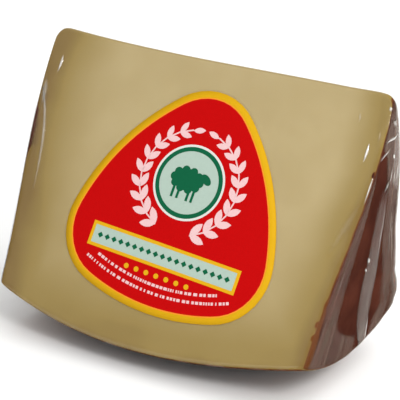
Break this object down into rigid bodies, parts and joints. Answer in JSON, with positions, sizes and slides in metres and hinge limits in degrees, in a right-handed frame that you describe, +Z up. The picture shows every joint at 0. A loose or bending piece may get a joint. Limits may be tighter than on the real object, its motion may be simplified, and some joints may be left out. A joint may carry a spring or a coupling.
{
  "type": "vacuum-packed pecorino wedge",
  "caption": "Wedge of pecorino with a dark rind, cut from a wheel and vacuum packed in tight clear film, with a rounded three-cornered label on a cut face.",
  "frame": {"origin": "on the flat spot of the rim where the wedge rests, below the middle of the ridge", "axes": "+Z up, from the rim to the ridge; +X along the ridge, which is the wheel's axis; the labelled cut face looks towards -Y"},
  "size_m": [0.1126, 0.0738, 0.0893],
  "materials": {
    "cheese": "pale straw paste, close and smooth, seen through glossy film",
    "rind": "dark red-brown treated rind",
    "clear_film": "clear glossy shrink film, tight on the cut faces and pleated on the rind",
    "label": "printed sticker with a soft sheen"
  },
  "bodies": {
    "root": {"film_pack": "cheese", "label": "label"}
  },
  "joints": []
}
